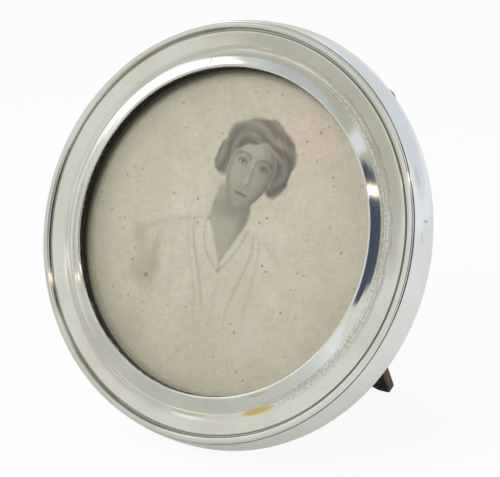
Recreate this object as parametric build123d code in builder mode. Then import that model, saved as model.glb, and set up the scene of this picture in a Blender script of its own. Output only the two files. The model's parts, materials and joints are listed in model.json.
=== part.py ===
from build123d import *
from math import cos, pi, radians, sin
import os

# A round silver photo frame that leans back on a hinged wooden strut.
# The front faces -Y, X runs to the viewer's right, and the table is z = 0.

# Stance, in degrees
lean_angle = 21.1  # of the front, back from upright
open_angle = 34.1  # of the strut, away from the back

# Silver front: ring widths, from the sight edge outwards
sight_radius = 62.5
lip_width = 0.9
bead_width = 4.2
cove_width = 2.9
band_width = 5.7
groove_width = 1.2
groove_batter = 0.25
roll_radius = 1.05
shoulder_width = 0.25
wall_spread = 3.1

# Silver front: heights, measured forwards from the plane of the groove's rims
lip_end = -3.4
lip_height = -1.6
crest_height = -0.7
bead_bulge = 0.5
valley_height = -3.6
band_inner_height = -2.45
band_outer_height = -1.25
band_crown = 0.06
groove_floor = -1.6
roll_height = 0.1
shoulder_height = -0.5
wall_bulge = 0.3
frame_depth = 12.0
sheet = 0.55
flange_width = 4.5
back_edge_round = 0.8

# Wooden core
core_fit = 0.1
rebate_lap = 4.0
seat_depth = 5.6

# Glass, print and cards in the rebate
rebate_play = 0.3
glass_thickness = 1.8
print_thickness = 0.3
backing_thickness = 1.0
tongue_thickness = 2.3

# Back board and its cloth
tongue_width = 4.7
raised_height = 1.8
raised_bevel = 0.8
cloth_thickness = 0.4
cloth_border = 1.5

# Turn buttons, their washers and screws
button_count = 4
button_start = 46.3
button_turns = (0, 25, -30, 35)
button_setback = 6.5
button_length = 20.2
button_width = 9.0
button_thickness = 1.2
button_bevel = 0.3
button_gap = 0.05
washer_radius = 3.0
button_screw_radius = 1.1
button_screw_length = 8.0
button_head_radius = 2.3
button_head_height = 1.3

# Pins through the turned-over silver edge
pin_count = 8
pin_start = 22.5
pin_shank_radius = 0.4
pin_shank_length = 5.0
pin_head_radius = 0.95
pin_head_height = 0.4
pin_edge_distance = 2.6

# Strut hinge
hinge_setback = 11.5
hinge_width = 26.0
knuckle_radius = 1.6
middle_knuckle = 10.0
knuckle_play = 0.15
knuckle_gap = 0.1
hinge_pin_radius = 0.75
hinge_pin_overhang = 0.5
leaf_thickness = 0.8
board_leaf_length = 11.0
strut_leaf_length = 12.0
leaf_corner = 1.5
leaf_drop = 0.1
hinge_screw_spread = 16.0
board_screw_distance = 6.2
strut_screw_distance = 7.5
hinge_screw_radius = 0.8
hinge_screw_head_radius = 1.55
countersink = 90
hinge_screw_length = 3.8

# Strut
strut_thickness = 5.0
strut_head_length = 7.5
strut_head_half = 15.0
toe_half = 51.4
toe_round = 2.2
toe_pad = 3.2
foot_arch = 10.0
strut_edge_round = 0.7
cloth_margin = 0.4
toe_cloth_half = 49.2
stop_gap = 0.05
groove_gap = 0.3

# Clearances and screw slots
press_gap = 0.01
running_gap = 0.05
slot_width = 0.5
slot_depth = 0.45
full_turn = 360

# Radii and depths worked out from the sizes above
crest_radius = sight_radius + lip_width
valley_radius = crest_radius + bead_width
cove_outer = valley_radius + cove_width
band_outer = cove_outer + band_width
groove_outer = band_outer + groove_width
roll_centre = groove_outer + roll_radius
roll_outer = roll_centre + roll_radius
wall_top = roll_outer + shoulder_width
back_radius = wall_top + wall_spread
flange_radius = back_radius - flange_width
rebate_radius = sight_radius + rebate_lap
core_back = sheet - frame_depth
glass_front = -seat_depth
print_front = glass_front - glass_thickness
backing_front = print_front - print_thickness
packing_front = backing_front - backing_thickness
tongue_back = -frame_depth
tongue_front = tongue_back + tongue_thickness
packing_thickness = packing_front - tongue_front
raised_back = tongue_back - raised_height
cloth_back = raised_back - cloth_thickness
filling_radius = rebate_radius - rebate_play
raised_radius = filling_radius - tongue_width
hinge_height = raised_radius - hinge_setback
button_pivot_radius = rebate_radius + button_setback
hinge_pin_height = cloth_back - knuckle_gap - knuckle_radius
board_leaf_back = cloth_back - leaf_thickness
strut_leaf_front = knuckle_radius - leaf_drop
strut_front = strut_leaf_front - leaf_thickness
side_knuckle = (hinge_width - middle_knuckle) / 2 - knuckle_play
button_front = tongue_back - button_gap
head_seat = button_front - button_thickness - button_gap

# Where the frame stands: its back rim and the strut's toes on the table, its depth centred on y = 0
lean = radians(lean_angle)
strut_lean = radians(open_angle - lean_angle)
rest_radius = back_radius - back_edge_round
rest_depth = frame_depth - back_edge_round
centre_z = rest_radius * cos(lean) + rest_depth * sin(lean) + back_edge_round
pin_z = centre_z + hinge_height * cos(lean) + hinge_pin_height * sin(lean)
pin_y = hinge_height * sin(lean) - hinge_pin_height * cos(lean)
strut_back = strut_front - strut_thickness
strut_length = (pin_z - strut_back * sin(strut_lean)) / cos(strut_lean)
front_reach = roll_centre * sin(lean) + roll_height * cos(lean) + roll_radius
back_reach = pin_y + strut_length * sin(strut_lean) - strut_back * cos(strut_lean)
centre_y = (front_reach - back_reach) / 2

# Planes: the front's face, a half plane to turn profiles in, and the strut at its hinge
face = Plane(origin=(0, centre_y, centre_z), x_dir=(1, 0, 0), z_dir=(0, -cos(lean), sin(lean)))
lathe = Plane(origin=face.origin, x_dir=face.x_dir, z_dir=-face.y_dir)
turning_axis = Axis(face.origin, face.z_dir)
strut = Plane(face.location * Location((0, hinge_height, hinge_pin_height), (open_angle, 0, 0)))
hinge_side = Plane(origin=strut.origin, x_dir=strut.y_dir, z_dir=strut.x_dir)
board_screws_y = hinge_height + board_screw_distance
board_screw_plane = -Plane(face.location * Location((0, board_screws_y, board_leaf_back)))
strut_screw_plane = Plane(strut.location * Location((0, -strut_screw_distance, strut_leaf_front)))

os.makedirs("parts", exist_ok=True)


def write(piece, name):
    """Label a finished piece and write it under its name."""
    piece.part.label = name
    export_step(piece.part, f"parts/{name}.step")


def moulding(inset):
    """Draw the moulded line from the sight edge to the flange, inset behind the visible face."""
    lip_start = (sight_radius + inset, lip_height)
    crest = (crest_radius, crest_height - inset)
    lip_middle = (
        crest_radius - (lip_width - inset) * cos(pi / 4),
        lip_height + (crest_height - inset - lip_height) * cos(pi / 4),
    )
    bead_middle = (
        (crest_radius + valley_radius) / 2,
        (crest_height + valley_height) / 2 + bead_bulge - inset,
    )
    valley = (valley_radius, valley_height - inset)
    band_start = (cove_outer, band_inner_height - inset)
    band_end = (band_outer - inset, band_outer_height - inset)
    band_middle = (
        (cove_outer + band_outer) / 2,
        (band_inner_height + band_outer_height) / 2 + band_crown - inset,
    )
    roll_start = (groove_outer + inset, roll_height)
    roll_top = (roll_centre, roll_height + roll_radius - inset)
    roll_end = (roll_outer - inset, roll_height)
    wall_start = (wall_top - inset, shoulder_height - inset)
    wall_end = (back_radius - inset, -rest_depth)
    wall_middle = (
        (wall_top + back_radius) / 2 - inset + wall_bulge,
        (shoulder_height - rest_depth) / 2,
    )
    turn = (back_edge_round - inset) * cos(pi / 4)
    turn_middle = (rest_radius + turn, -rest_depth - turn)
    turn_end = (rest_radius, inset - frame_depth)
    Line((sight_radius + inset, lip_end), lip_start)
    ThreePointArc(lip_start, lip_middle, crest)
    ThreePointArc(crest, bead_middle, valley)
    Line(valley, band_start)
    ThreePointArc(band_start, band_middle, band_end)
    Polyline(
        band_end,
        (band_outer - inset + groove_batter, groove_floor - inset),
        (groove_outer + inset - groove_batter, groove_floor - inset),
        roll_start,
    )
    ThreePointArc(roll_start, roll_top, roll_end)
    Polyline(roll_end, (roll_outer - inset, shoulder_height - inset), wall_start)
    ThreePointArc(wall_start, wall_middle, wall_end)
    ThreePointArc(wall_end, turn_middle, turn_end)
    Line(turn_end, (flange_radius, inset - frame_depth))


def strut_lines():
    """Draw the strut's outline: a taper from the head to two toes, with an arch between them."""
    arch_half = toe_half - toe_pad
    Polyline(
        (arch_half, -strut_length),
        (toe_half, -strut_length),
        (strut_head_half, strut_head_length),
        (-strut_head_half, strut_head_length),
        (-toe_half, -strut_length),
        (-arch_half, -strut_length),
    )
    ThreePointArc(
        (-arch_half, -strut_length), (0, foot_arch - strut_length), (arch_half, -strut_length)
    )


def disc(front, thickness, radius):
    """Make a disc of the rebate's filling, with its front face at the given height."""
    with BuildPart() as piece:
        with BuildSketch(face.offset(front)):
            Circle(radius)
        extrude(amount=-thickness)
    return piece


# Silver front, pressed in one piece and turned over the core's back edge
with BuildPart() as silver_mount:
    with BuildSketch(lathe):
        with BuildLine():
            moulding(0)
            moulding(sheet)
            Line((sight_radius, lip_end), (sight_radius + sheet, lip_end))
            Line((flange_radius, -frame_depth), (flange_radius, core_back))
        make_face()
    revolve(axis=turning_axis)
    with BuildSketch(face.offset(core_back)):
        with PolarLocations(back_radius - pin_edge_distance, pin_count, pin_start):
            Circle(pin_shank_radius + press_gap)
    extrude(amount=-2 * sheet, mode=Mode.SUBTRACT)
write(silver_mount, "silver_mount")

# Turned wooden core under the silver, with the rebate for the glass
core_lip_front = lip_height - sheet - core_fit
core_valley = valley_height - sheet - core_fit
core_front = groove_floor - sheet - core_fit
core_lip = sight_radius + sheet + core_fit
core_sight = sight_radius + core_fit
core_outer_front = wall_top - sheet - core_fit
with BuildPart() as frame_core:
    with BuildSketch(lathe):
        with BuildLine():
            Polyline(
                (core_lip, core_lip_front),
                (core_lip, lip_end - core_fit),
                (core_sight, lip_end - core_fit),
                (core_sight, glass_front),
                (rebate_radius, glass_front),
                (rebate_radius, core_back),
                (rest_radius, core_back),
                (core_outer_front, core_front),
                (groove_outer, core_front),
                (valley_radius, core_valley),
                close=True,
            )
        make_face()
    revolve(axis=turning_axis)
    with BuildSketch(face.offset(core_back)):
        with PolarLocations(button_pivot_radius, button_count, button_start):
            Circle(button_screw_radius + press_gap)
    extrude(amount=head_seat + button_screw_length + press_gap - core_back, mode=Mode.SUBTRACT)
    with BuildSketch(face.offset(core_back)):
        with PolarLocations(back_radius - pin_edge_distance, pin_count, pin_start):
            Circle(pin_shank_radius + press_gap)
    extrude(amount=pin_shank_length - sheet + press_gap, mode=Mode.SUBTRACT)
write(frame_core, "frame_core")

# Round-headed pins through the turned-over edge into the core
with BuildPart() as mount_pins:
    with BuildSketch(face.offset(-frame_depth)):
        with PolarLocations(back_radius - pin_edge_distance, pin_count, pin_start):
            Circle(pin_shank_radius)
    extrude(amount=pin_shank_length)
    with BuildSketch(face.offset(-frame_depth)):
        with PolarLocations(back_radius - pin_edge_distance, pin_count, pin_start):
            Circle(pin_head_radius)
    extrude(amount=-pin_head_height)
    head_faces = mount_pins.faces().filter_by(turning_axis).group_by(turning_axis)[0]
    fillet(head_faces.edges(), radius=pin_head_height / 2)
write(mount_pins, "mount_pins")

# Glass, print and cards, stacked in the rebate
glass_disc = disc(glass_front, glass_thickness, filling_radius)
write(glass_disc, "glass_disc")
photo_print = disc(print_front, print_thickness, filling_radius - rebate_play)
write(photo_print, "photo_print")
backing_card = disc(backing_front, backing_thickness, filling_radius)
write(backing_card, "backing_card")
packing_card = disc(packing_front, packing_thickness, filling_radius - rebate_play)
write(packing_card, "packing_card")

# Back board: a thin tongue under the turn buttons round a raised middle
with BuildPart() as back_board:
    with BuildSketch(face.offset(tongue_front)):
        Circle(filling_radius)
    extrude(amount=-tongue_thickness)
    with BuildSketch(face.offset(tongue_back)):
        Circle(raised_radius)
    extrude(amount=-raised_height)
    chamfer(
        back_board.faces().filter_by(turning_axis).sort_by(turning_axis)[0].edges(),
        length=raised_bevel,
    )
    with BuildSketch(face.offset(raised_back)):
        with Locations((0, board_screws_y)):
            with GridLocations(hinge_screw_spread, 0, 2, 1):
                Circle(hinge_screw_radius + press_gap)
    extrude(amount=hinge_screw_length, mode=Mode.SUBTRACT)
write(back_board, "back_board")

# Dark cloth glued over the raised middle
with BuildPart() as back_cloth:
    with BuildSketch(face.offset(raised_back)):
        Circle(raised_radius - cloth_border)
        with Locations((0, board_screws_y)):
            with GridLocations(hinge_screw_spread, 0, 2, 1):
                Circle(hinge_screw_radius + press_gap, mode=Mode.SUBTRACT)
    extrude(amount=-cloth_thickness)
write(back_cloth, "back_cloth")

# Washers that bring the core level with the turned-over edge
with BuildPart() as turn_button_washers:
    with BuildSketch(face.offset(core_back)):
        with PolarLocations(button_pivot_radius, button_count, button_start):
            Circle(washer_radius)
            Circle(button_screw_radius + running_gap, mode=Mode.SUBTRACT)
    extrude(amount=-sheet)
write(turn_button_washers, "turn_button_washers")

# Turn buttons, each a round-ended brass bar on its screw, left a little askew by hand
corner_names = ("upper_right", "upper_left", "lower_left", "lower_right")
for index, corner in enumerate(corner_names):
    place = button_start + index * full_turn / button_count
    pivot = Vector(button_pivot_radius, 0).rotate(Axis.Z, place)
    turned = place + button_turns[index]
    seat = Plane(face.offset(button_front).location * Location(pivot, (0, 0, turned)))
    with BuildPart() as turn_button:
        with BuildSketch(seat):
            SlotOverall(button_length, button_width)
            Circle(button_screw_radius + running_gap, mode=Mode.SUBTRACT)
        extrude(amount=-button_thickness)
        rear_face = turn_button.faces().filter_by(turning_axis).sort_by(turning_axis)[0]
        chamfer(rear_face.outer_wire().edges(), length=button_bevel)
    write(turn_button, f"turn_button_{corner}")

# Round-headed, slotted screws of the turn buttons
with BuildPart() as turn_button_screws:
    with BuildSketch(face.offset(head_seat)):
        with PolarLocations(button_pivot_radius, button_count, button_start):
            Circle(button_head_radius)
    extrude(amount=-button_head_height)
    head_faces = turn_button_screws.faces().filter_by(turning_axis).group_by(turning_axis)[0]
    fillet(head_faces.edges(), radius=button_head_height - slot_depth)
    with BuildSketch(face.offset(head_seat)):
        with PolarLocations(button_pivot_radius, button_count, button_start):
            Circle(button_screw_radius)
    extrude(amount=button_screw_length)
    with BuildSketch(face.offset(head_seat - button_head_height)):
        with PolarLocations(button_pivot_radius, button_count, button_start):
            Rectangle(slot_width, 2 * button_head_radius)
    extrude(amount=slot_depth, mode=Mode.SUBTRACT)
write(turn_button_screws, "turn_button_screws")

# Hinge leaf on the board, with the two outer knuckles
with BuildPart() as hinge_board_leaf:
    with BuildSketch(face.offset(cloth_back)) as leaf_sketch:
        with Locations((0, hinge_height)):
            Rectangle(hinge_width, board_leaf_length, align=(Align.CENTER, Align.MIN))
        fillet(leaf_sketch.vertices().group_by(Axis.Y)[-1], radius=leaf_corner)
        with Locations((0, hinge_height)):
            Rectangle(
                middle_knuckle + 2 * knuckle_play,
                2 * (knuckle_radius + groove_gap),
                mode=Mode.SUBTRACT,
            )
    extrude(amount=-leaf_thickness)
    for side in (-1, 1):
        with BuildSketch(hinge_side.offset(side * hinge_width / 2)):
            Circle(knuckle_radius)
        extrude(amount=-side * side_knuckle)
    with BuildSketch(hinge_side):
        Circle(hinge_pin_radius + press_gap)
    extrude(amount=hinge_width, both=True, mode=Mode.SUBTRACT)
    with Locations(board_screw_plane):
        with GridLocations(hinge_screw_spread, 0, 2, 1):
            CounterSinkHole(
                hinge_screw_radius + press_gap,
                hinge_screw_head_radius + running_gap,
                leaf_thickness,
                counter_sink_angle=countersink,
            )
write(hinge_board_leaf, "hinge_board_leaf")

# Hinge leaf on the strut, with the middle knuckle
with BuildPart() as hinge_strut_leaf:
    with BuildSketch(strut.offset(strut_leaf_front)) as leaf_sketch:
        with Locations((0, -knuckle_radius - groove_gap)):
            Rectangle(
                hinge_width,
                strut_leaf_length - knuckle_radius - groove_gap,
                align=(Align.CENTER, Align.MAX),
            )
        fillet(leaf_sketch.vertices().group_by(Axis.Y)[0], radius=leaf_corner)
        Rectangle(middle_knuckle, strut_leaf_length / 2, align=(Align.CENTER, Align.MAX))
    extrude(amount=-leaf_thickness)
    with BuildSketch(hinge_side):
        Circle(knuckle_radius)
    extrude(amount=middle_knuckle / 2, both=True)
    with BuildSketch(hinge_side):
        Circle(hinge_pin_radius + running_gap)
    extrude(amount=hinge_width, both=True, mode=Mode.SUBTRACT)
    with Locations(strut_screw_plane):
        with GridLocations(hinge_screw_spread, 0, 2, 1):
            CounterSinkHole(
                hinge_screw_radius + press_gap,
                hinge_screw_head_radius + running_gap,
                leaf_thickness,
                counter_sink_angle=countersink,
            )
write(hinge_strut_leaf, "hinge_strut_leaf")

# Pin through the three knuckles
with BuildPart() as hinge_pin:
    with BuildSketch(hinge_side):
        Circle(hinge_pin_radius)
    extrude(amount=hinge_width / 2 + hinge_pin_overhang, both=True)
    fillet(hinge_pin.edges().filter_by(GeomType.CIRCLE), radius=hinge_pin_overhang / 2)
write(hinge_pin, "hinge_pin")

# Countersunk screws of both leaves
for name, screw_plane in (
    ("hinge_board_screws", board_screw_plane),
    ("hinge_strut_screws", strut_screw_plane),
):
    with BuildPart() as hinge_screws:
        with Locations(screw_plane):
            with GridLocations(hinge_screw_spread, 0, 2, 1):
                Cone(
                    hinge_screw_radius,
                    hinge_screw_head_radius,
                    hinge_screw_head_radius - hinge_screw_radius,
                    align=(Align.CENTER, Align.CENTER, Align.MAX),
                )
                Cylinder(
                    hinge_screw_radius,
                    hinge_screw_length,
                    align=(Align.CENTER, Align.CENTER, Align.MAX),
                )
                Box(
                    slot_width,
                    2 * hinge_screw_head_radius,
                    slot_depth,
                    align=(Align.CENTER, Align.CENTER, Align.MAX),
                    mode=Mode.SUBTRACT,
                )
    write(hinge_screws, name)

# Strut: a tapering board whose bevelled head stops on the board leaf when it is open
with BuildPart() as strut_board:
    with BuildSketch(strut.offset(strut_front)) as strut_sketch:
        with BuildLine():
            strut_lines()
        make_face()
        toes = strut_sketch.vertices().group_by(Axis.Y)[0].sort_by(Axis.X)
        fillet([toes[0], toes[-1]], radius=toe_round)
    extrude(amount=-strut_thickness)
    long_edges = strut_board.edges().filter_by(lambda edge: edge.length > strut_length)
    fillet(long_edges.filter_by(GeomType.LINE), radius=strut_edge_round)
    split(bisect_by=face.offset(board_leaf_back - stop_gap), keep=Keep.BOTTOM)
    split(bisect_by=Plane.XY, keep=Keep.TOP)
    with BuildSketch(hinge_side):
        Circle(knuckle_radius + groove_gap)
    extrude(amount=toe_half, both=True, mode=Mode.SUBTRACT)
    with BuildSketch(strut.offset(strut_front)):
        with Locations((0, -strut_screw_distance)):
            with GridLocations(hinge_screw_spread, 0, 2, 1):
                Circle(hinge_screw_radius + press_gap)
    extrude(amount=-hinge_screw_length, mode=Mode.SUBTRACT)
write(strut_board, "strut_board")

# Dark cloth on the strut's front, which leaves the outer corners of the toes bare
with BuildPart() as strut_cloth:
    with BuildSketch(strut.offset(strut_front)):
        with BuildLine():
            strut_lines()
        make_face()
        offset(amount=-cloth_margin - strut_edge_round, kind=Kind.INTERSECTION)
        with Locations((0, -strut_leaf_length - rebate_play)):
            Rectangle(
                2 * toe_cloth_half,
                strut_length,
                align=(Align.CENTER, Align.MAX),
                mode=Mode.INTERSECT,
            )
    extrude(amount=cloth_thickness)
    split(bisect_by=Plane.XY.offset(cloth_margin), keep=Keep.TOP)
write(strut_cloth, "strut_cloth")
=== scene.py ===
import json
from math import atan2, cos, hypot, pi, radians, sin

import bpy
import numpy as np
from mathutils import Matrix, Vector


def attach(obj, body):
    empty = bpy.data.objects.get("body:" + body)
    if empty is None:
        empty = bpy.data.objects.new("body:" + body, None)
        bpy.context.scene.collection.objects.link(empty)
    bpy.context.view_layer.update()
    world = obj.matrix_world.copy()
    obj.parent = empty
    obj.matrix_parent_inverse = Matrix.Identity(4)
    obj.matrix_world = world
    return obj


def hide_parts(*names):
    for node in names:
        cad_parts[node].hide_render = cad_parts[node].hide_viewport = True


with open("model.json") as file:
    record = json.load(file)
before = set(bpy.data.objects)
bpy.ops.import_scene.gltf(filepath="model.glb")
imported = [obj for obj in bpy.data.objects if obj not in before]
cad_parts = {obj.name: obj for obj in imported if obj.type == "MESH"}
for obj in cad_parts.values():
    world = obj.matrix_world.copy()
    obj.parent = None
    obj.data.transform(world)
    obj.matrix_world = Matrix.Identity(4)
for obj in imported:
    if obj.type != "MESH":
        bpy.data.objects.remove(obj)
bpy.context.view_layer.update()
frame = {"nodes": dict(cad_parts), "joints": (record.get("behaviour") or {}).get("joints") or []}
bpy.ops.object.select_all(action="DESELECT")

# The leaning face
# Everything in the front is made flat, with its front upwards, and is then leant back and lifted
# onto the face. The turn buttons' pivots give that face's direction and middle.
mm = 0.001
button_seat_depth = 13.3 * mm
pivots = [joint for joint in frame["joints"] if joint["name"].endswith("button_turn")]
face_out = Vector(pivots[0]["axis"]).normalized()
face_right = Vector((1, 0, 0))
face_up = face_out.cross(face_right)
face_centre = sum((Vector(joint["pos_m"]) for joint in pivots), Vector()) / len(pivots)
face_centre += button_seat_depth * face_out
face_matrix = Matrix((
    (face_right.x, face_up.x, face_out.x, face_centre.x),
    (face_right.y, face_up.y, face_out.y, face_centre.y),
    (face_right.z, face_up.z, face_out.z, face_centre.z),
    (0, 0, 0, 1),
))

# Silver front
# One sheet of silver, spun and pressed into a sloping bead, a cove, a broad band, a groove and a
# roll, with a flared side wall that is turned over the wooden core's back edge. Polish wore it soft.
silver_sheet = 0.55 * mm
ring_steps = 288


def bend(start, middle, end, steps):
    """The points of an arc from start through middle to end, without the first one."""
    (ax, ay), (bx, by), (cx, cy) = start, middle, end
    double_area = 2 * (ax * (by - cy) + bx * (cy - ay) + cx * (ay - by))
    a_square, b_square, c_square = ax**2 + ay**2, bx**2 + by**2, cx**2 + cy**2
    x = (a_square * (by - cy) + b_square * (cy - ay) + c_square * (ay - by)) / double_area
    y = (a_square * (cx - bx) + b_square * (ax - cx) + c_square * (bx - ax)) / double_area
    first, last = atan2(ay - y, ax - x), atan2(cy - y, cx - x)
    between = (atan2(by - y, bx - x) - first) % (2 * pi)
    sweep = (last - first) % (2 * pi)
    if between > sweep:
        sweep -= 2 * pi
    radius = hypot(ax - x, ay - y)
    angles = [first + sweep * step / steps for step in range(1, steps + 1)]
    return [(x + radius * cos(angle), y + radius * sin(angle)) for angle in angles]


def slope(start, width, first, last, steps):
    """Points outwards across a width, whose fall goes evenly from the first angle to the last."""
    radius, height = start
    points = []
    for step in range(steps):
        fall = radians(first + (last - first) * (step + 0.5) / steps)
        radius += width / steps
        height -= width / steps * sin(fall) / cos(fall)
        points.append((radius, height))
    return points


silver_line = [(62.5, -3.4), (62.5, -1.6)]
silver_line += bend(silver_line[-1], (62.56, -1.35), (62.72, -1.22), 4)
silver_line += bend(silver_line[-1], (62.93, -1.13), (63.2, -1.1), 5)
for width, first, last, steps in (
    (0.3, 6, 24, 5),  # the bead's edge
    (1.5, 24, 23, 8),  # the bead
    (1.7, 21, 20, 8),
    (1.4, 17, 13, 8),
    (0.6, 13, -15, 9),  # the cove
    (1.4, -16, -18, 8),
    (0.9, -18, -14, 8),
    (2.4, -14, -12, 8),  # the broad band
    (2.45, -12, -9, 8),
    (0.3, -9, 45, 5),  # the groove's inner edge
):
    silver_line += slope(silver_line[-1], width, first, last, steps)
silver_line += [(76.35, -1.7), (76.5, -1.85), (77.05, -1.85), (77.15, -1.7), (77.32, 0.1)]
silver_line += bend(silver_line[-1], (77.38, 0.35), (77.6, 0.5), 4)
silver_line += slope(silver_line[-1], 1.6, -16, 16, 10)
silver_line += bend(silver_line[-1], (79.4, 0.35), (79.5, 0.1), 4)
silver_line += [(79.5, -0.35)]
silver_line += bend(silver_line[-1], (79.55, -0.46), (79.66, -0.5), 3)
silver_line += bend(silver_line[-1], (79.8, -0.56), (79.88, -0.7), 3)
silver_line += bend(silver_line[-1], (81.65, -5.85), (82.85, -11.2), 24)
silver_line += bend(silver_line[-1], (82.6157, -11.7657), (82.05, -12.0), 8)
silver_line += [(81.0, -12.0), (78.35, -12.0)]


def turn_on_lathe(name, line, steps):
    """Turn a line of (radius, height) points, in millimetres, into a round piece. A line that ends
    at radius 0 is a solid, and its first ring is filled."""
    radius, height = line[0]
    solid = line[-1][0] == 0
    bpy.ops.object.select_all(action="DESELECT")
    bpy.ops.mesh.primitive_circle_add(
        vertices=steps,
        radius=radius * mm,
        fill_type="TRIFAN" if solid else "NOTHING",
        location=(0, 0, height * mm),
    )
    piece = bpy.context.object
    piece.name = name
    bpy.ops.object.transform_apply(location=True, rotation=False, scale=False)
    bpy.ops.object.mode_set(mode="EDIT")
    bpy.ops.mesh.select_mode(type="EDGE")
    bpy.ops.mesh.select_all(action="SELECT")
    if solid:
        bpy.ops.mesh.region_to_loop()
    for next_radius, next_height in line[1:]:
        bpy.ops.mesh.extrude_region_move(
            TRANSFORM_OT_translate={"value": (0, 0, (next_height - height) * mm)}
        )
        if next_radius == 0:
            bpy.ops.mesh.merge(type="CENTER")
            break
        share = next_radius / radius
        bpy.ops.transform.resize(value=(share, share, 1), center_override=(0, 0, next_height * mm))
        radius, height = next_radius, next_height
    bpy.ops.mesh.select_all(action="SELECT")
    bpy.ops.mesh.normals_make_consistent(inside=False)
    bpy.ops.object.mode_set(mode="OBJECT")
    return piece


silver_front = turn_on_lathe("silver_front", silver_line, ring_steps)
wear = bpy.data.textures.new("hand_wear", "CLOUDS")
wear.noise_scale = 14 * mm
wear.noise_depth = 1
soft_dents = silver_front.modifiers.new("soft_dents", "DISPLACE")
soft_dents.texture = wear
soft_dents.strength = 0.05 * mm
soft_dents.mid_level = 0.5
wall = silver_front.modifiers.new("sheet", "SOLIDIFY")
wall.thickness = silver_sheet
wall.offset = -1
wall.use_even_offset = True
bpy.ops.object.modifier_apply(modifier="soft_dents")
bpy.ops.object.modifier_apply(modifier="sheet")


def smooth(piece, degrees):
    """Shade a piece smooth, apart from the edges that are sharper than an angle."""
    bpy.ops.object.select_all(action="DESELECT")
    piece.select_set(True)
    bpy.context.view_layer.objects.active = piece
    bpy.ops.object.shade_smooth_by_angle(angle=radians(degrees))


def lean_back(piece):
    """Lay a flat piece onto the leaning face and leave its object at the origin."""
    piece.matrix_world = face_matrix
    bpy.context.view_layer.update()
    bpy.ops.object.select_all(action="DESELECT")
    piece.select_set(True)
    bpy.context.view_layer.objects.active = piece
    bpy.ops.object.transform_apply(location=True, rotation=True, scale=True)
    bpy.ops.object.select_all(action="DESELECT")


smooth(silver_front, 40)
lean_back(silver_front)


class Finish:
    """The node table of a material or of the surround, laid out a node at a time."""

    def __init__(self, owner):
        owner.use_nodes = True
        self.owner = owner
        self.nodes = owner.node_tree.nodes
        self.links = owner.node_tree.links
        self.shader = self.nodes.get("Principled BSDF")

    def feed(self, node, inputs):
        """Fill inputs of a node, each with a number, a colour or another node's output."""
        for name, value in inputs.items():
            if isinstance(value, bpy.types.NodeSocket):
                self.links.new(value, node.inputs[name])
            else:
                node.inputs[name].default_value = value

    def add(self, kind, inputs=None, **options):
        """Put down one node with its settings, and fill its inputs."""
        node = self.nodes.new("ShaderNode" + kind)
        for name, value in options.items():
            setattr(node, name, value)
        self.feed(node, inputs or {})
        return node

    def sums(self, operation, *terms):
        """One sum of two or three terms, each a number or an output."""
        return self.add("Math", dict(enumerate(terms)), operation=operation).outputs[0]

    def noise(self, place, scale, detail=3, rough=0.5):
        """Cloudy noise from 0 to 1, in patches of about 1 / scale metres."""
        inputs = {"Vector": place, "Scale": scale, "Detail": detail, "Roughness": rough}
        return self.add("TexNoise", inputs).outputs["Fac"]

    def between(self, value, low, high, first=0, last=1):
        """Carry a value from the range low to high over to the range first to last."""
        inputs = {"Value": value, "From Min": low, "From Max": high}
        inputs.update({"To Min": first, "To Max": last})
        return self.add("MapRange", inputs, interpolation_type="SMOOTHSTEP").outputs["Result"]

    def blend(self, share, under, over, kind="MIX"):
        """Lay one colour over another by a share."""
        mixer = self.add("Mix", data_type="RGBA", blend_type=kind)
        colours = {"A": under, "B": over}
        for name, colour in colours.items():
            if isinstance(colour, tuple):
                colours[name] = (*colour, 1)
        self.feed(mixer, {"Factor": share, **colours})
        return mixer.outputs["Result"]

    def turned(self, matrix, stretch=(1, 1, 1)):
        """The piece's own place, in metres, seen from a frame of its own, and stretched."""
        place = self.add("TexCoord").outputs["Object"]
        inputs = {"Vector": place, "Location": matrix.translation, "Rotation": matrix.to_euler()}
        place = self.add("Mapping", inputs, vector_type="TEXTURE").outputs["Vector"]
        return self.add("Mapping", {"Vector": place, "Scale": stretch}).outputs["Vector"]

    def from_middle(self, place):
        """How far a place is from the frame's middle, in metres, seen from the front."""
        flat_place = self.add("VectorMath", {0: place, 1: (1, 1, 0)}, operation="MULTIPLY").outputs[0]
        return self.add("VectorMath", {0: flat_place}, operation="LENGTH").outputs["Value"]

    def relief(self, height, depth):
        """Raise the surface by a height from 0 to 1, times a depth in metres."""
        inputs = {"Height": height, "Distance": depth}
        self.feed(self.shader, {"Normal": self.add("Bump", inputs).outputs["Normal"]})

    def cover(self, *pieces):
        """Give pieces this finish all over."""
        for piece in pieces:
            piece.data.materials.clear()
            piece.data.materials.append(self.owner)


silver = Finish(bpy.data.materials.new("silver"))
place = silver.turned(face_matrix)
axes = silver.add("SeparateXYZ", {"Vector": place}).outputs
ring_place = silver.sums("MULTIPLY", silver.from_middle(place), 1 / mm)
blotches = silver.noise(place, 45, 5)
fine = silver.noise(place, 900, 2)
clean = silver.between(blotches, 0.38, 0.62)
tone = silver.blend(clean, (0.90, 0.885, 0.835), (0.95, 0.945, 0.925))


def ring_stain(under, colour, radius, half_width, ragged, most):
    """Dirt that polish leaves in a ragged line round the front, at a radius in millimetres."""
    wander = silver.sums("MULTIPLY_ADD", silver.noise(place, 160, 3), 2 * ragged, -ragged)
    off = silver.sums("SUBTRACT", silver.sums("ADD", ring_place, wander), radius)
    off = silver.sums("ABSOLUTE", off)
    share = silver.between(off, 0.4 * half_width, half_width, most, 0)
    return silver.blend(share, under, colour)


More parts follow.
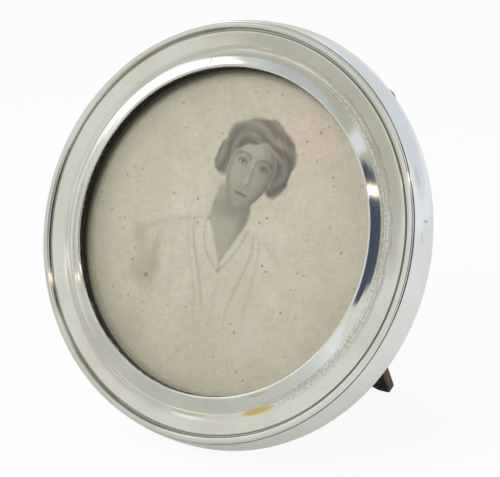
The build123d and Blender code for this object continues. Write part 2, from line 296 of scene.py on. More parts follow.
def silver_mark(under, colour, bearing, radius, half_length, half_width, most):
    """A soft oval mark along the ring, at a bearing in degrees and a radius in millimetres."""
    outwards, onwards = [
        silver.sums("MULTIPLY_ADD", axes["X"], x, silver.sums("MULTIPLY", axes["Y"], y))
        for x, y in (
            (cos(radians(bearing)), sin(radians(bearing))),
            (-sin(radians(bearing)), cos(radians(bearing))),
        )
    ]
    onwards = silver.sums("ABSOLUTE", silver.sums("MULTIPLY", onwards, 1 / half_length / mm))
    across = silver.sums("MULTIPLY_ADD", ring_place, 1 / half_width, -radius / half_width)
    across = silver.sums("POWER", silver.sums("ABSOLUTE", across), 2.0)
    reach = silver.sums("ADD", across, silver.sums("POWER", onwards, 2.0))
    share = silver.between(reach, 0.4, 1, most, 0)
    share = silver.sums("MULTIPLY", share, silver.between(outwards, 0, 5 * mm))
    return silver.blend(share, under, colour)


upper_right = silver.sums("ADD", axes["X"], axes["Y"])
most_upper_right = silver.between(upper_right, 20 * mm, 75 * mm, 0.12, 0.6)
only_right = silver.between(axes["X"], 0, 55 * mm, 0, 0.75)
for colour, radius, half_width, ragged, most in (
    ((0.60, 0.47, 0.36), 70.2, 1.0, 1.0, most_upper_right),  # brown, outside the cove
    ((0.45, 0.42, 0.36), 68.5, 0.25, 0.15, 0.5),  # in the cove
    ((0.30, 0.29, 0.25), 76.45, 0.34, 0.08, 0.7),  # in the groove
    ((0.45, 0.44, 0.39), 77.1, 0.12, 0.05, 0.5),
    ((0.20, 0.19, 0.17), 77.05, 0.34, 0.08, only_right),
    ((0.40, 0.39, 0.34), 76.8, 0.3, 0.12, 0.6),
    ((0.16, 0.15, 0.13), 79.6, 0.2, 0.05, 0.85),  # outside the roll
):
    tone = ring_stain(tone, colour, radius, half_width, ragged, most)
for colour, bearing, radius, half_length, half_width, most in (
    ((0.15, 0.15, 0.15), 103, 65.6, 0.25, 1.9, 0.75),  # a scratch
    ((0.80, 0.56, 0.10), 297, 69.5, 7.5, 1.3, 0.8),  # painted reflections of something yellow, at the bottom
    ((0.72, 0.62, 0.30), 273, 69.6, 9, 0.7, 0.55),
    ((0.80, 0.62, 0.25), 299, 63.9, 4.5, 0.7, 0.5),
    ((0.55, 0.56, 0.50), 215, 69.6, 45, 0.9, 0.45),  # greyer stretches beside the cove: tarnish, and painted dull reflection
    ((0.50, 0.53, 0.54), 118, 69.3, 34, 0.8, 0.4),
    ((0.30, 0.30, 0.30), 11, 81.7, 0.7, 0.45, 0.5),  # darker marks on the side wall, one of them long and bluish
    ((0.45, 0.46, 0.46), 22, 81.0, 5, 0.4, 0.4),
    ((0.50, 0.52, 0.53), 7, 81.2, 2.4, 0.2, 0.35),
    ((0.60, 0.63, 0.66), 42, 81.2, 42, 1.7, 0.5),
):
    tone = silver_mark(tone, colour, bearing, radius, half_length, half_width, most)

# Pits in the cove's right side, specks all over, and inside the sight edge black tarnish with painted
# shade
pits = silver.between(silver.noise(place, 1300, 3), 0.42, 0.58, 0, 0.34)
pits = silver.sums("MULTIPLY", pits, silver.between(ring_place, 66.8, 67.5))
pits = silver.sums("MULTIPLY", pits, silver.between(ring_place, 69.4, 70.4, 1, 0))
pits = silver.sums("MULTIPLY", pits, silver.between(axes["X"], 20 * mm, 45 * mm))
tone = silver.blend(pits, tone, (0.40, 0.36, 0.30))
specks = silver.between(silver.noise(place, 1500, 1), 0.70, 0.74, 0, 0.4)
tone = silver.blend(specks, tone, (0.35, 0.33, 0.28))
# Inside the sight edge the silver is painted near black: black tarnish, and painted shade of the
# recess
tarnish_and_shade_inside = silver.between(axes["Z"], -2.1 * mm, -1.8 * mm, 0.96, 0)
tarnish_and_shade_inside = silver.sums("MULTIPLY", tarnish_and_shade_inside, silver.between(ring_place, 62.8, 63.3, 1, 0))
glitter = silver.between(silver.noise(place, 700, 2), 0.58, 0.66)
tarnish = silver.blend(glitter, (0.02, 0.02, 0.02), (0.4, 0.4, 0.37))
tone = silver.blend(tarnish_and_shade_inside, tone, tarnish)
silver.feed(silver.shader, {
    "Base Color": tone,
    "Metallic": 1.0,
    "Roughness": silver.between(blotches, 0.3, 0.7, 0.11, 0.07),
})
silver.relief(fine, 0.002 * mm)
silver.cover(silver_front)
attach(silver_front, "frame")
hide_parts("silver_mount")

# Glass
# A disc of old window glass, 1.8 mm thick, that lies on the core's step behind the sight edge.
glass_radius, glass_front, glass_back = 66.2, -5.6, -7.38
ground_edge = 0.2
disc_steps = 192
glass_line = [(glass_radius - ground_edge, glass_back), (glass_radius, glass_back + ground_edge)]
glass_line += [(glass_radius, glass_front - ground_edge), (glass_radius - ground_edge, glass_front)]
glass_line += [(0, glass_front)]
glass_pane = turn_on_lathe("glass_pane", glass_line, disc_steps)
smooth(glass_pane, 30)
lean_back(glass_pane)
glass = Finish(bpy.data.materials.new("clear_glass"))
glass.feed(glass.shader, {
    "Base Color": (0.975, 0.99, 0.98, 1),
    "Roughness": 0.0,
    "IOR": 1.5,
    "Transmission Weight": 1.0,
})

# Light for the shadows goes straight through
rays = glass.add("LightPath").outputs
let_light = glass.add("BsdfTransparent").outputs["BSDF"]
either = glass.add("MixShader", {
    0: rays["Is Shadow Ray"], 1: glass.shader.outputs["BSDF"], 2: let_light
})
glass.feed(glass.nodes["Material Output"], {"Surface": either.outputs["Shader"]})
glass.cover(glass_pane)
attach(glass_pane, "frame")
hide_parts("glass_disc")

# Print
# A cream paper print with a woven surface and a portrait head in soft grey-brown that fades out
# towards its edges. It lies behind the glass, foxed and stained with age.
print_radius, print_front, print_back = 65.9, -7.42, -7.7
print_steps = 120
print_line = [(print_radius, print_back)]
print_line += [(radius, print_front) for radius in (print_radius, 64, 62)]
print_line += [(radius * 0.1, print_front) for radius in range(595, 20, -25)] + [(0, print_front)]
photo_sheet = turn_on_lathe("photo_sheet", print_line, print_steps)

# The front gets finer where the portrait is painted, most of all at the head
for left, right, bottom, top, cuts in ((-36, 34, -46, 6, 3), (-14, 30, 6, 48, 7)):
    faces = photo_sheet.data.polygons
    middles = np.zeros(3 * len(faces))
    faces.foreach_get("center", middles)
    across, above, forward = middles.reshape(-1, 3).T / mm
    inside = (across > left) & (across < right) & (above > bottom) & (above < top)
    inside &= forward > (print_front + print_back) / 2
    bpy.ops.object.mode_set(mode="EDIT")
    bpy.ops.mesh.select_mode(type="FACE")
    bpy.ops.mesh.select_all(action="DESELECT")
    bpy.ops.object.mode_set(mode="OBJECT")
    faces.foreach_set("select", inside)
    bpy.ops.object.mode_set(mode="EDIT")
    bpy.ops.mesh.subdivide(number_cuts=cuts)
    bpy.ops.object.mode_set(mode="OBJECT")


def climb(value, low, high):
    """0 up to low, 1 from high on, and a smooth climb between."""
    share = np.clip((value - low) / (high - low), 0, 1)
    return share * share * (3 - 2 * share)


def mound(x, y, at, spread):
    """A soft mound of height 1."""
    return np.exp(-(((x - at[0]) / spread[0]) ** 2) - ((y - at[1]) / spread[1]) ** 2)


def oval(x, y, at, radii, edge):
    """1 inside an oval and 0 outside, with a soft edge."""
    return climb(np.hypot((x - at[0]) / radii[0], (y - at[1]) / radii[1]), 1 + edge, 1 - edge)


def stroke(x, y, places, width):
    """1 on a bent line through four places, fading out over a width."""
    knots, fine = np.linspace(0, 1, len(places)), np.linspace(0, 1, 25)
    bent_x, bent_y = (
        np.polyval(np.polyfit(knots, part, len(places) - 1), fine) for part in zip(*places)
    )
    nearest = np.full(x.shape, np.inf)
    for index in range(len(fine) - 1):
        run_x, run_y = bent_x[index + 1] - bent_x[index], bent_y[index + 1] - bent_y[index]
        off_x, off_y = x - bent_x[index], y - bent_y[index]
        share = np.clip((off_x * run_x + off_y * run_y) / (run_x**2 + run_y**2), 0, 1)
        nearest = np.minimum(nearest, np.hypot(off_x - share * run_x, off_y - share * run_y))
    return np.exp(-((nearest / width) ** 2))


def paint_blouse(x, y):
    """The tone of the blouse and neck, in millimetres from the print's middle. Bare paper is 1."""
    fade = climb(y, -44, -20)
    half_opening = 7.6 * climb(y, -17, 5) + 1.6 * climb(y, -2, 8) - 1.2 * climb(y, 8, 16)
    skin = climb(half_opening - np.abs(x - 2.6 - 0.05 * y), 0, 1.3)
    skin *= climb(y, -15.5, -13) * climb(y, 22, 16)
    tone = 1 - 0.37 * skin
    tone -= 0.24 * mound(x, y, (5.5, 9.5), (9, 4.5)) * skin
    tone -= 0.12 * stroke(x, y, [(11.5, 10), (11, 6), (9.5, 2), (7.5, -3)], 3.0) * skin
    tone -= 0.12 * stroke(x, y, [(9.2, 5), (8.5, 0), (6.5, -5), (3.5, -11)], 2.0) * skin
    for width, depth, *places in (
        (1.3, 0.13, (-6, 5.5), (-13, 3.4), (-24, 1), (-32, -3.5)),  # left shoulder
        (0.5, 0.30, (-5.8, 5.4), (-6.6, -2), (-3.2, -10), (2.2, -15)),  # left side of the opening
        (0.6, 0.26, (-12, 3.2), (-9.6, -8), (-4.2, -22), (-1.2, -40)),  # left lapel, twice
        (0.5, 0.16, (-14.4, 2.8), (-12.4, -8), (-7.4, -22), (-5.0, -40)),
        (0.5, 0.30, (11.8, 1.6), (9.8, -4), (6.4, -10), (2.2, -15)),  # right side of the opening
        (0.6, 0.24, (14.6, -0.6), (14.4, -10), (10.6, -22), (9.0, -36)),  # right lapel, twice
        (0.6, 0.18, (17.4, -2), (18.2, -12), (16.8, -26), (16.4, -40)),
        (1.2, 0.10, (12, 1.5), (17, -0.5), (22, -3.5), (27, -9)),  # right shoulder
        (1.5, 0.11, (-26.4, -4), (-27.4, -12), (-26.6, -20), (-27.4, -29)),  # sleeve
        (1.0, 0.07, (-19, -3), (-19.4, -12), (-18.2, -24), (-18.6, -34)),  # a fold
        (0.7, 0.10, (2.2, -15), (2.8, -22), (2.4, -30), (2.8, -38)),  # the closing
    ):
        tone -= depth * stroke(x, y, places, width) * fade
    return tone


def paint_hair(u, v):
    """Where the hair is and its tone, in waves that follow the head's round, in head heights."""
    side = np.abs(u)
    reach, bearing = np.hypot(u, v + 0.05), np.arctan2(u, v + 0.05)
    ripple = 1 + 0.022 * np.sin(7 * bearing + 1) + 0.014 * np.sin(13 * bearing)
    ripple += 0.008 * np.sin(29 * bearing)
    crown = oval(u / ripple, v / ripple, (0.01, 0.17), (0.45, 0.36), 0.07)
    puff = oval(side / ripple, v / ripple, (0.33, 0.02), (0.15, 0.25), 0.12)
    hair = np.maximum(crown, puff)
    wave = np.sin(42 * reach + 3.2 * np.sin(3.4 * bearing + 0.6))
    strands = np.sin(150 * reach + 11 * np.sin(2.6 * bearing) + 2 * wave)
    hair_tone = 0.27 + 0.09 * wave + 0.05 * strands
    hair_tone += 0.17 * mound(u, v, (-0.17, 0.40), (0.17, 0.07))
    hair_tone += 0.08 * mound(u, v, (0.22, 0.36), (0.1, 0.07))
    hair_tone -= 0.06 * climb(u, 0.05, 0.4)
    return hair, hair_tone


def paint_face(u, v):
    """Where the face is and its tone, a calm one with its eyes half way up, in head heights."""
    side = np.abs(u)
    edge_reach = np.hypot(u / (0.285 - 0.035 * climb(-v, 0.1, 0.4)), (v + 0.08) / 0.425)
    brow_line = v + 0.9 * u**2 - 0.05 * np.sin(9 * u + 0.6) - 0.012 * np.sin(31 * u)
    face = climb(edge_reach, 1.04, 0.96) * climb(brow_line, 0.245, 0.2)
    face_tone = 0.59 - 0.20 * climb(u, -0.02, 0.26) - 0.16 * climb(edge_reach, 0.68, 1.0)
    for depth, at, spread in (
        (0.10, (-0.08, 0.15), (0.14, 0.06)),  # forehead
        (0.09, (-0.15, -0.14), (0.08, 0.08)),  # cheeks
        (0.07, (0.14, -0.14), (0.07, 0.07)),
        (0.10, (0, -0.185), (0.022, 0.02)),  # tip of the nose
        (-0.12, (0.032, -0.21), (0.02, 0.02)),  # its shaded side
        (-0.26, (0.027, -0.228), (0.013, 0.009)),  # nostrils
        (-0.24, (-0.027, -0.228), (0.013, 0.009)),
        (-0.13, (0.005, -0.252), (0.035, 0.016)),  # under the nose
        (-0.14, (0, -0.395), (0.055, 0.016)),  # under the lower lip
        (0.09, (-0.01, -0.445), (0.055, 0.035)),  # chin
        (-0.10, (0.06, -0.5), (0.12, 0.03)),  # under the chin
    ):
        face_tone += depth * mound(u, v, at, spread)
    bridge = [(-0.004, 0.06), (-0.006, -0.03), (-0.004, -0.1), (0, -0.18)]
    bridge_shade = [(0.036, 0.06), (0.022, 0.0), (0.028, -0.09), (0.045, -0.18)]
    brow = [(0.06, 0.075), (0.11, 0.098), (0.16, 0.1), (0.212, 0.07)]
    face_tone += 0.12 * stroke(u, v, bridge, 0.018)
    face_tone -= 0.13 * stroke(u, v, bridge_shade, 0.018)
    face_tone -= 0.13 * mound(side, v, (0.12, 0.035), (0.075, 0.04))
    face_tone -= 0.26 * stroke(side, v, brow, 0.013)
    lid = np.clip(1 - ((side - 0.135) / 0.056) ** 2, 0, 1) ** 0.7
    opened = climb(v, -0.022 * lid - 0.004, -0.022 * lid + 0.004) * (lid > 0.05)
    opened *= climb(v, 0.024 * lid + 0.003, 0.024 * lid - 0.005)
    eye = (0.135, 0.003)
    face_tone += 0.05 * opened - 0.30 * oval(side, v, eye, (0.023, 0.025), 0.2) * opened
    face_tone -= 0.16 * oval(side, v, eye, (0.010, 0.011), 0.3) * opened
    for glint in (-0.141, 0.129):
        face_tone += 0.30 * mound(u, v, (glint, 0.011), (0.006, 0.006))
    for depth, *rim in (
        (0.38, (0.08, -0.005), (0.115, 0.02), (0.155, 0.021), (0.194, -0.003)),  # upper lid
        (0.15, (0.082, 0.022), (0.115, 0.042), (0.155, 0.044), (0.19, 0.024)),  # its fold
        (0.12, (0.085, -0.013), (0.115, -0.027), (0.155, -0.028), (0.19, -0.012)),  # lower lid
    ):
        face_tone -= depth * stroke(side, v, rim, 0.0075)
    lips = np.clip(1 - (u / 0.098) ** 2, 0, 1)
    seam = -0.335 + 0.004 * np.cos(60 * u) * lips + 0.9 * u**2
    top, bottom = seam + 0.026 * lips, seam - 0.036 * lips
    upper = climb(v, seam - 0.002, seam + 0.002) * climb(v, top + 0.003, top - 0.003)
    lower = climb(v, seam + 0.002, seam - 0.002) * climb(v, bottom - 0.004, bottom + 0.006)
    face_tone -= (0.30 * upper + 0.17 * lower) * (lips > 0)
    face_tone -= 0.32 * np.exp(-(((v - seam) / 0.0055) ** 2)) * climb(lips, 0.0, 0.35)
    return face, face_tone


def paint_portrait(x, y):
    """The portrait's colours at places on the print, in millimetres from its middle."""
    head_x, head_y, head_height, head_tilt = 9.0, 26.4, 35.0, np.radians(-15)
    across, above = (x - head_x) / head_height, (y - head_y) / head_height
    u = across * np.cos(head_tilt) + above * np.sin(head_tilt)
    v = above * np.cos(head_tilt) - across * np.sin(head_tilt)
    tone = paint_blouse(x, y)
    hair, hair_tone = paint_hair(u, v)
    face, face_tone = paint_face(u, v)
    hair *= 1 - face
    tone = tone * (1 - hair) + hair_tone * hair
    tone = tone * (1 - face) + face_tone * face
    tone = np.clip(tone, 0.12, 1.0)
    warm = mound(u, v, (0.2, 0.42), (0.25, 0.16)) * hair
    dark = 1 - tone
    return np.stack([tone + 0.06 * warm, tone, tone - 0.02 * dark], 1)


points = photo_sheet.data.vertices
places = np.zeros(3 * len(points))
points.foreach_get("co", places)
across, above, forward = places.reshape(-1, 3).T / mm
tones = np.ones((len(points), 4))
tones[:, :3] = paint_portrait(across, above)
photo_tone = photo_sheet.data.color_attributes.new("photo_tone", "FLOAT_COLOR", "POINT")
photo_tone.data.foreach_set("color", tones.ravel())

print_paper = Finish(bpy.data.materials.new("print_paper"))
place = print_paper.turned(face_matrix)
axes = print_paper.add("SeparateXYZ", {"Vector": place}).outputs
mottle = print_paper.noise(place, 60, 5, 0.6)
tone = print_paper.between(mottle, 0.35, 0.65)
tone = print_paper.blend(tone, (0.308, 0.277, 0.207), (0.345, 0.313, 0.242))


def paper_mark(under, colour, at, half, most):
    """A ragged soft mark, at a place and of a half size in millimetres."""
    parts = []
    for axis, middle, size in zip("XY", at, half):
        off = print_paper.sums("MULTIPLY_ADD", axes[axis], 1 / size / mm, -middle / size)
        parts.append(print_paper.sums("POWER", print_paper.sums("ABSOLUTE", off), 2.0))
    reach = print_paper.sums("MULTIPLY_ADD", mottle, 1.2, print_paper.sums("ADD", *parts))
    return print_paper.blend(print_paper.between(reach, 0.5, 1.5, most, 0), under, colour)


for colour, at, half, most in (
    ((0.44, 0.31, 0.26), (30, 40), (20, 16), 0.35),  # a rosy bloom at upper right
    ((0.20, 0.14, 0.08), (-31, -16), (9, 13), 0.45),  # brown stains at the left
    ((0.17, 0.13, 0.08), (-36, -6), (5, 7), 0.35),
    ((0.24, 0.20, 0.14), (-31, -44), (10, 7), 0.3),  # damp stains at the bottom
    ((0.26, 0.21, 0.15), (26, -48), (12, 6), 0.3),
    ((0.24, 0.20, 0.10), (-21.8, 55.8), (2.6, 1.6), 0.5),  # a rubbed place at the top
    ((0.10, 0.08, 0.05), (-29.5, -22), (1.3, 1.3), 0.8),  # spots
    ((0.10, 0.08, 0.05), (34.7, 42), (1.0, 1.2), 0.8),
    ((0.14, 0.10, 0.06), (9.8, 55), (1.0, 1.0), 0.7),
    ((0.14, 0.10, 0.06), (45, 8), (1.1, 0.9), 0.6),
    ((0.14, 0.10, 0.06), (-44, 20), (1.0, 1.3), 0.6),
    ((0.14, 0.10, 0.06), (38, -26), (0.9, 0.9), 0.6),
):
    tone = paper_mark(tone, colour, at, half, most)

# Small brown spots of foxing, and paper darker towards its edge, most at the left: toning and painted
# shade
cells = print_paper.add("TexVoronoi", {"Vector": place, "Scale": 240.0})
spot = print_paper.between(cells.outputs["Distance"], 0.08, 0.17, 1, 0)
rare = print_paper.between(print_paper.noise(place, 110, 2), 0.45, 0.60)
tone = print_paper.blend(print_paper.sums("MULTIPLY", spot, rare), tone, (0.13, 0.10, 0.06))
reach = print_paper.sums("MULTIPLY_ADD", mottle, 6 * mm, print_paper.from_middle(place))
left_reach = print_paper.sums("MULTIPLY_ADD", axes["X"], -0.12, reach)
# Broad darkening towards the edge and the left: toning with age, and painted shade
toned_and_shaded = print_paper.between(left_reach, 25 * mm, 66 * mm, 0, 0.35)
tone = print_paper.blend(toned_and_shaded, tone, (0.20, 0.17, 0.105))
# Painted shadow of the sight edge on the print's rim, darkest at the left
edge = print_paper.between(left_reach, 57 * mm, 74 * mm, 0, 0.7)
tone = print_paper.blend(edge, tone, (0.11, 0.105, 0.065))

# The woven surface, and the portrait laid over all of it
threads = [
    print_paper.noise(print_paper.turned(face_matrix, stretch), 2000, 1)
    for stretch in ((1, 0.12, 1), (0.12, 1, 1))
]
weave = print_paper.sums("ADD", *threads)
woven = print_paper.between(weave, 0.7, 1.3, 0.90, 1.08)
picture = print_paper.add("Attribute", attribute_name="photo_tone").outputs["Color"]
tone = print_paper.blend(1.0, tone, picture, "MULTIPLY")
tone = print_paper.add("VectorMath", {0: tone, 3: woven}, operation="SCALE").outputs["Vector"]
print_paper.feed(print_paper.shader, {"Base Color": tone, "Roughness": 0.8})
print_paper.relief(weave, 0.03 * mm)
print_paper.cover(photo_sheet)
smooth(photo_sheet, 30)
lean_back(photo_sheet)
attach(photo_sheet, "frame")
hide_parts("photo_print")

# Cards
# Two discs of grey-brown pasteboard behind the print fill the rebate's depth.
card_stock = Finish(bpy.data.materials.new("card"))
fibres = card_stock.noise(card_stock.turned(face_matrix, (1, 6, 1)), 700, 4)
tone = card_stock.blend(fibres, (0.30, 0.24, 0.16), (0.42, 0.35, 0.25))
card_stock.feed(card_stock.shader, {"Base Color": tone, "Roughness": 0.9})
card_stock.relief(fibres, 0.04 * mm)
card_stock.cover(frame["nodes"]["backing_card"], frame["nodes"]["packing_card"])

# Wooden core
# A turned ring of plain pale wood, darkened by age, that fills the silver and shows behind. Its
# sight edge is blackened, with painted recess shade, so that it doesn't show in front of the print.
core_wood = Finish(bpy.data.materials.new("core_wood"))
place = core_wood.turned(face_matrix)
grain = core_wood.noise(core_wood.turned(face_matrix, (14, 1, 14)), 60, 5, 0.6)
clouds = core_wood.noise(place, 30, 3)
tone = core_wood.blend(grain, (0.20, 0.115, 0.06), (0.42, 0.27, 0.15))
tone = core_wood.blend(core_wood.between(clouds, 0.45, 0.7, 0, 0.5), tone, (0.14, 0.08, 0.045))
# Near black at the sight edge: blackening, and painted shade of the recess
blackened_and_shaded = core_wood.between(core_wood.from_middle(place), 64.5 * mm, 66 * mm, 0.96, 0)
tone = core_wood.blend(blackened_and_shaded, tone, (0.012, 0.011, 0.009))
core_wood.feed(core_wood.shader, {
    "Base Color": tone,
    "Roughness": core_wood.between(grain, 0, 1, 0.72, 0.55),
})
core_wood.relief(grain, 0.08 * mm)
core_wood.cover(frame["nodes"]["frame_core"])

# Steel pins
# Eight small round-headed pins through the turned-over edge, and the hinge's pin, gone dull.
steel = Finish(bpy.data.materials.new("steel"))
place = steel.turned(face_matrix)
rust = steel.noise(place, 500, 4)
tone = steel.blend(steel.between(rust, 0.5, 0.68), (0.52, 0.51, 0.49), (0.22, 0.13, 0.08))
steel.feed(steel.shader, {
    "Base Color": tone,
    "Metallic": steel.between(rust, 0.5, 0.7, 1, 0.3),
    "Roughness": steel.between(rust, 0.3, 0.7, 0.3, 0.6),
})
steel.relief(rust, 0.02 * mm)
steel.cover(frame["nodes"]["mount_pins"], frame["nodes"]["hinge_pin"])

# Back board
# A round board of dark stained wood with a raised middle, held under the four turn buttons.
board_back = -13.8
board_line = [(66.2, -9.7), (66.2, -11.8), (66.0, -12.0), (61.6, -12.0), (61.5, -12.1)]
board_line += [(61.5, -13.0), (60.85, -13.7), (60.6, board_back), (0, board_back)]


def stained_wood(name, matrix):
    """Dark brown stained wood, whose grain runs along the frame's second axis."""
    wood = Finish(bpy.data.materials.new(name))
    grain = wood.noise(wood.turned(matrix, (16, 1, 16)), 55, 6, 0.65)
    pores = wood.noise(wood.turned(matrix, (30, 1.5, 30)), 90, 2)
    rubbed = wood.noise(wood.turned(matrix, (5, 1, 5)), 30, 4)
    tone = wood.blend(wood.between(grain, 0.3, 0.7), (0.055, 0.028, 0.014), (0.19, 0.10, 0.05))
    tone = wood.blend(wood.between(pores, 0.58, 0.72, 0, 0.8), tone, (0.015, 0.009, 0.006))
    tone = wood.blend(wood.between(rubbed, 0.5, 0.75, 0, 0.4), tone, (0.26, 0.17, 0.10))
    wood.feed(wood.shader, {
        "Base Color": tone,
        "Roughness": wood.between(rubbed, 0.3, 0.7, 0.38, 0.62),
    })
    wood.relief(grain, 0.06 * mm)
    return wood


board_wood = stained_wood("stained_wood", face_matrix)
round_board = turn_on_lathe("round_board", board_line, disc_steps)
smooth(round_board, 30)
lean_back(round_board)
board_wood.cover(round_board)
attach(round_board, "frame")
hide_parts("back_board")

# Cloth on the back board
# Black bookbinder's cloth with a pressed grain, glued over the raised middle.
cloth_line = [(60.0, board_back), (60.0, -14.08), (59.9, -14.18), (59.75, -14.2), (0, -14.2)]


def grained_cloth(name, matrix):
    """Black cloth pressed with an uneven pebble grain, greyer where it is rubbed."""
    cloth = Finish(bpy.data.materials.new(name))
    place = cloth.turned(matrix)
    shift = cloth.add("TexNoise", {"Vector": place, "Scale": 900.0, "Detail": 2.0}).outputs["Color"]
    shift = cloth.add("VectorMath", {0: shift, "Scale": 0.5 * mm}, operation="SCALE").outputs["Vector"]
    uneven = cloth.add("VectorMath", {0: place, 1: shift}, operation="ADD").outputs["Vector"]
    pebbles = cloth.add("TexVoronoi", {"Vector": uneven, "Scale": 1300.0})
    pebble = cloth.between(pebbles.outputs["Distance"], 0.1, 0.65, 1, 0)
    rubbed = cloth.noise(place, 70, 5, 0.6)
    tone = cloth.blend(pebble, (0.008, 0.008, 0.009), (0.035, 0.034, 0.036))
    share = cloth.sums("MULTIPLY", cloth.between(rubbed, 0.45, 0.72), pebble)
    tone = cloth.blend(cloth.sums("MULTIPLY", share, 0.8), tone, (0.13, 0.125, 0.12))
    cloth.feed(cloth.shader, {
        "Base Color": tone,
        "Roughness": cloth.between(pebble, 0, 1, 0.75, 0.5),
        "Specular IOR Level": 0.35,
    })
    cloth.relief(pebble, 0.12 * mm)
    return cloth


board_cloth = grained_cloth("grained_cloth", face_matrix)
round_cloth = turn_on_lathe("round_cloth", cloth_line, disc_steps)
smooth(round_cloth, 30)
lean_back(round_cloth)
board_cloth.cover(round_cloth)
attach(round_cloth, "frame")
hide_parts("back_cloth")

# Brass fittings
# Turn buttons, washers, round-headed screws and the strut's hinge, all brass that has gone brown.
brass = Finish(bpy.data.materials.new("brass"))
place = brass.turned(face_matrix)
tarnish = brass.noise(place, 140, 5, 0.6)
scratches = brass.noise(brass.turned(face_matrix, (1, 18, 1)), 900, 2)
tone = brass.blend(brass.between(tarnish, 0.36, 0.66), (0.66, 0.47, 0.19), (0.26, 0.165, 0.07))
tone = brass.blend(brass.between(scratches, 0.6, 0.75, 0, 0.35), tone, (0.80, 0.62, 0.30))
brass.feed(brass.shader, {
    "Base Color": tone,
    "Metallic": 1.0,
    "Roughness": brass.between(tarnish, 0.35, 0.7, 0.24, 0.48),
})
brass.relief(scratches, 0.01 * mm)
for name in (
    "turn_button_upper_right",
    "turn_button_upper_left",
    "turn_button_lower_left",
    "turn_button_lower_right",
    "turn_button_washers",
    "turn_button_screws",
    "hinge_board_leaf",
    "hinge_board_screws",
    "hinge_strut_leaf",
    "hinge_strut_screws",
):
    brass.cover(frame["nodes"][name])

# Strut
# A tapering board of the same stained wood, hinged to the back, with cloth on its front face.
strut_spread = 34.1
hinge = next(joint for joint in frame["joints"] if joint["name"] == "strut_hinge")
strut_matrix = Matrix.Translation(Vector(hinge["pos_m"])) @ face_matrix.to_3x3().to_4x4()
strut_matrix = strut_matrix @ Matrix.Rotation(radians(strut_spread), 4, "X")
stained_wood("strut_wood", strut_matrix).cover(frame["nodes"]["strut_board"])
grained_cloth("strut_cloth", strut_matrix).cover(frame["nodes"]["strut_cloth"])

# Studio
# A pale floor, white for the camera, and a surround that the silver mirrors: pale walls, a broad
# white panel high on the left, a dark doorway on the right with a strip lamp, and a few cards.
floor_width = 6.0
floor_white = 0.92
mirrored_share = 0.9
bpy.ops.mesh.primitive_plane_add(size=floor_width, location=(0, 0, 0))
floor = bpy.context.object
floor.name = "floor"
paper = Finish(bpy.data.materials.new("floor_paper"))
paper.feed(paper.shader, {
    "Base Color": (0.8, 0.8, 0.8, 1),
    "Roughness": 0.9,
    "Specular IOR Level": 0.0,
})
glow = paper.add("Emission").outputs["Emission"]
rays = paper.add("LightPath").outputs
straight = paper.sums("MAXIMUM", rays["Is Camera Ray"], rays["Is Transmission Ray"])
straight = paper.sums("MULTIPLY", straight, floor_white)
lit = paper.add("MixShader", {0: straight, 1: paper.shader.outputs["BSDF"], 2: glow})
# For glossy rays the floor glows with its own greys, darker in front of the frame: painted shade
ground = paper.add("SeparateXYZ", {"Vector": paper.add("TexCoord").outputs["Object"]}).outputs
tone = paper.between(ground["X"], -0.5, -0.12)
tone = paper.blend(tone, (0.64, 0.65, 0.62), (0.46, 0.47, 0.42))
tone = paper.blend(paper.between(ground["X"], 0.0, 0.15), tone, (0.72, 0.75, 0.76))
mirrored = paper.add("Emission", {"Color": tone}).outputs["Emission"]
share = paper.sums("MULTIPLY", rays["Is Glossy Ray"], mirrored_share)
lit = paper.add("MixShader", {0: share, 1: lit.outputs["Shader"], 2: mirrored})
paper.feed(paper.nodes["Material Output"], {"Surface": lit.outputs["Shader"]})
paper.cover(floor)

world = bpy.data.worlds.new("studio")
bpy.context.scene.world = world
room = Finish(world)
looking = room.add("TexCoord").outputs["Generated"]


def along(direction):
    """How far the looked-at direction runs along one direction."""
    dot = room.add("VectorMath", {0: looking, 1: direction}, operation="DOT_PRODUCT")
    return dot.outputs["Value"]


def card(under, colour, place, half, softness, corner):
    """Hang a soft-edged card in the surround, with its bearing and height and their half sizes in
    degrees. An oval has corner 2, and a higher number squares it."""
    bearing, height = (radians(angle) for angle in place)
    centre = Vector((sin(bearing) * cos(height), -cos(bearing) * cos(height), sin(height)))
    level = Vector((cos(bearing), sin(bearing), 0))
    ahead = along(centre)
    reach = []
    for direction, half_angle in zip((level, level.cross(centre)), half):
        turn = room.sums("ARCTAN2", along(direction), ahead)
        part = room.sums("ABSOLUTE", room.sums("DIVIDE", turn, radians(half_angle)))
        reach.append(room.sums("POWER", part, corner))
    reach = room.sums("POWER", room.sums("ADD", *reach), 1 / corner)
    return room.blend(room.between(reach, 1 - softness, 1 + softness, 1, 0), under, colour)


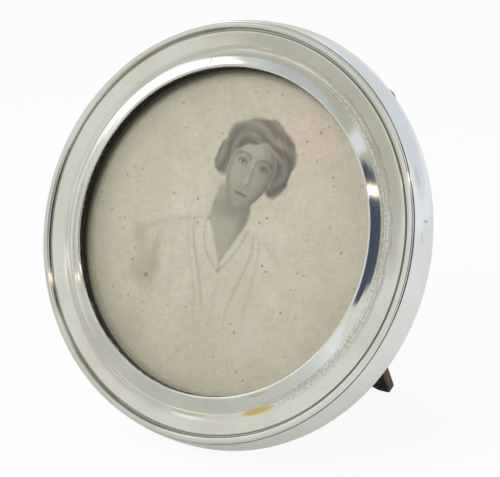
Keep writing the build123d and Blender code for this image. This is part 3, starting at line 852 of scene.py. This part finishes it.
pale_wall = (0.66, 0.665, 0.61)
view = pale_wall
for colour, place, half, softness, corner in (
    ((0.48, 0.52, 0.54), (45, 78), (50, 24), 0.3, 2),  # ceiling
    ((1.3, 1.33, 1.35), (-104, 31), (30, 32), 0.06, 4),  # white panel
    ((0.74, 0.76, 0.75), (-92, 4), (24, 14), 0.15, 4),
    ((0.78, 0.82, 0.86), (143, 28), (50, 30), 0.2, 4),  # pale wall behind the frame
    ((0.47, 0.475, 0.41), (-41, 9.5), (12, 6), 0.12, 4),
    ((0.62, 0.65, 0.66), (-59, 13), (7, 7), 0.3, 4),
    ((0.44, 0.46, 0.38), (-12, 58), (34, 7), 0.25, 4),
    ((0.44, 0.46, 0.38), (14, 34), (9, 18), 0.3, 4),
    ((0.06, 0.075, 0.11), (39.5, 26), (20.5, 25), 0.05, 4),  # dark doorway
    ((0.7, 0.72, 0.74), (48, 58), (30, 4), 0.2, 4),
    ((3.2, 2.8, 2.1), (50, 42.5), (26, 1.4), 0.3, 8),  # strip lamp
    ((0.58, 0.43, 0.50), (-22, 34), (7, 2.2), 0.4, 2),
    ((0.95, 0.95, 0.97), (-38, 33.5), (3, 2.5), 0.3, 2),
    ((0.55, 0.56, 0.54), (-33.5, 33.5), (2.2, 2.5), 0.3, 2),
    ((1.0, 1.0, 1.0), (-9, 28), (5, 1.5), 0.4, 2),
):
    view = card(view, colour, place, half, softness, corner)
surround = room.nodes["Background"]
room.feed(surround, {"Color": view})
backdrop = room.add("Background", {"Color": (1, 1, 1, 1)})
rays = room.add("LightPath").outputs
straight = room.sums("MAXIMUM", rays["Is Camera Ray"], rays["Is Transmission Ray"])
choice = room.add("MixShader", {
    0: straight, 1: surround.outputs["Background"], 2: backdrop.outputs["Background"]
})
room.feed(room.nodes["World Output"], {"Surface": choice.outputs["Shader"]})

# Lamps
# One broad lamp, high on the left in front, gives the soft shadows.
bpy.ops.object.light_add(type="AREA", location=(-0.3, -0.85, 0.9))
lamp = bpy.context.object
lamp.data.shape = "DISK"
lamp.data.size = 0.6
lamp.data.energy = 9
lamp.visible_glossy = False
lamp.rotation_euler = (face_centre - lamp.location).to_track_quat("-Z", "Y").to_euler()

# Camera
# It stands to the viewer's right of the frame, a little above it.
picture_width = 500
focal_pixels = 1020.8
sensor_width = 36
camera_place = Vector((196.16, -327.16, 196.60)) * mm
camera_up = Vector((-0.155, 0.2674, 0.9511))
camera_back = Vector((0.4769, -0.8228, 0.3090)).normalized()
camera_right = camera_up.cross(camera_back).normalized()
camera_up = camera_back.cross(camera_right)
bpy.ops.object.camera_add()
camera = bpy.context.object
camera.data.sensor_width = sensor_width
camera.data.lens = focal_pixels / picture_width * sensor_width
camera.data.clip_start = 0.01
camera.matrix_world = Matrix((
    (camera_right.x, camera_up.x, camera_back.x, camera_place.x),
    (camera_right.y, camera_up.y, camera_back.y, camera_place.y),
    (camera_right.z, camera_up.z, camera_back.z, camera_place.z),
    (0, 0, 0, 1),
))
bpy.context.scene.camera = camera
bpy.context.scene.view_settings.view_transform = "Standard"
